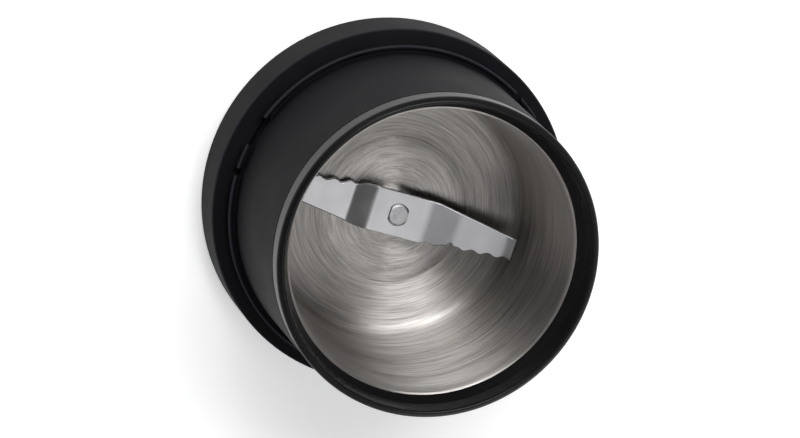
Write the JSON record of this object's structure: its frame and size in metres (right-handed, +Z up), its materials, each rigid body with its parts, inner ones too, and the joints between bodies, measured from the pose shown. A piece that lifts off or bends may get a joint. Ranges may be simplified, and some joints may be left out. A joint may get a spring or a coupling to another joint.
{
  "type": "spice grinder cup",
  "caption": "Removable grinding cup of an electric spice grinder: black outer cup on a wide flange, steel bowl, spinning wave-edged blade and drive coupling.",
  "frame": {"origin": "on the cup's axis, in the plane that the flange stands on", "axes": "+Z up along the cup's axis towards its mouth; -Y towards the side seen in the picture"},
  "size_m": [0.1032, 0.1032, 0.067],
  "materials": {
    "cup_black": "satin",
    "gloss_black": "glossy",
    "flange_black": "fine grain",
    "cover_black": "fine grain",
    "carrier_black": "satin",
    "coupling_black": "satin",
    "silicone": "matt",
    "seal_rubber": "matt",
    "bowl_steel": "brushed in circles",
    "blade_steel": "tumbled satin",
    "turned_steel": "turned",
    "shaft_steel": "ground",
    "spring_steel": "oiled",
    "zinc_steel": "zinc plated",
    "bronze": "sintered",
    "washer_white": "satin"
  },
  "bodies": {
    "cup": {"cup_sleeve": "cup_black", "rim_ring": "gloss_black", "rim_gasket": "silicone", "steel_bowl": "bowl_steel", "base_ring": "flange_black", "bearing_housing": "carrier_black", "hub_gasket": "silicone", "seal_cap": "turned_steel", "shaft_seal": "seal_rubber", "upper_bush": "bronze", "lower_bush": "bronze", "thrust_washer_upper": "washer_white", "thrust_washer_lower": "washer_white", "bottom_cover": "cover_black", "base_ring_screws": "zinc_steel", "cover_screws": "zinc_steel", "housing_screws": "zinc_steel"},
    "rotor": {"drive_shaft": "shaft_steel", "blade": "blade_steel", "blade_spacer": "turned_steel", "retaining_clip": "spring_steel", "drive_coupling": "coupling_black", "coupling_insert": "turned_steel", "coupling_nut": "zinc_steel"}
  },
  "joints": [
    {"name": "blade_spin", "type": "hinge", "parent": "cup", "child": "rotor", "pos_m": [0, 0, 0.0196], "axis": [0, 0, -1], "continuous": true}
  ]
}
